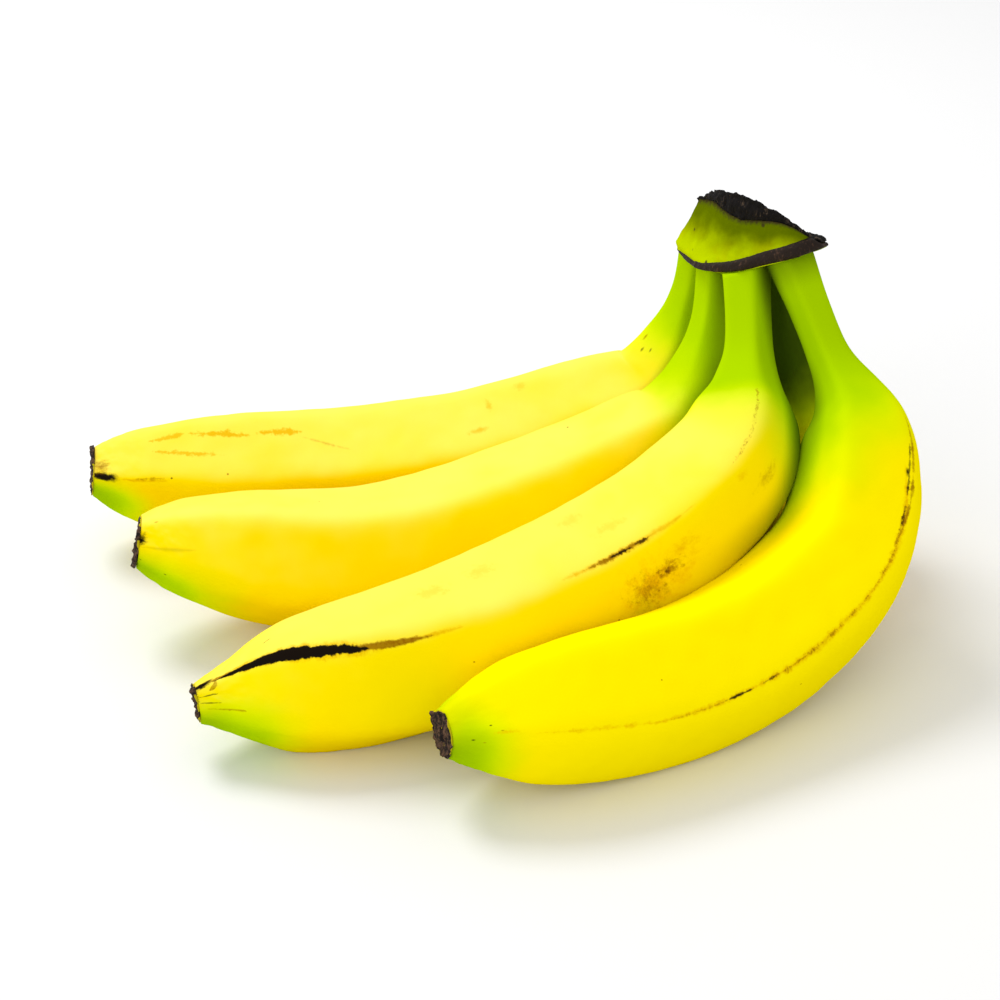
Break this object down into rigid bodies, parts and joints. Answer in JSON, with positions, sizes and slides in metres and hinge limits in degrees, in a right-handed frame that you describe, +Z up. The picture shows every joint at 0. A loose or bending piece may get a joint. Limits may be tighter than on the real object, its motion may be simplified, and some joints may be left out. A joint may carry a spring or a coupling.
{
  "type": "bunch of bananas",
  "caption": "Small hand of ripe bananas lying on its side: curved, softly ridged fingers, dark blossom ends and a green crown with a dried cut.",
  "frame": {"origin": "on the surface that the bunch lies on, below the middle of its bounding box", "axes": "+Z up; the fingers run towards -X and -Y from the crown, and +X is the longest extent"},
  "size_m": [0.2282, 0.1708, 0.1101],
  "materials": {
    "peel": "smooth waxy yellow peel, green at neck and tip, with brown scuffs",
    "blossom_end": "dry, dark and wrinkled",
    "crown": "waxy green stalk tissue with dark specks",
    "dried_cut": "dried black cut with torn fibres",
    "scar": "dry brown ridge with short grain"
  },
  "bodies": {
    "root": {"banana_1": "peel", "banana_2": "peel", "banana_3": "peel", "banana_4": "peel", "banana_5": "peel", "blossom_end_1": "blossom_end", "blossom_end_2": "blossom_end", "blossom_end_3": "blossom_end", "blossom_end_4": "blossom_end", "blossom_end_5": "blossom_end", "crown": "crown", "crown_cut": "dried_cut", "bract_scar": "scar"}
  },
  "joints": []
}
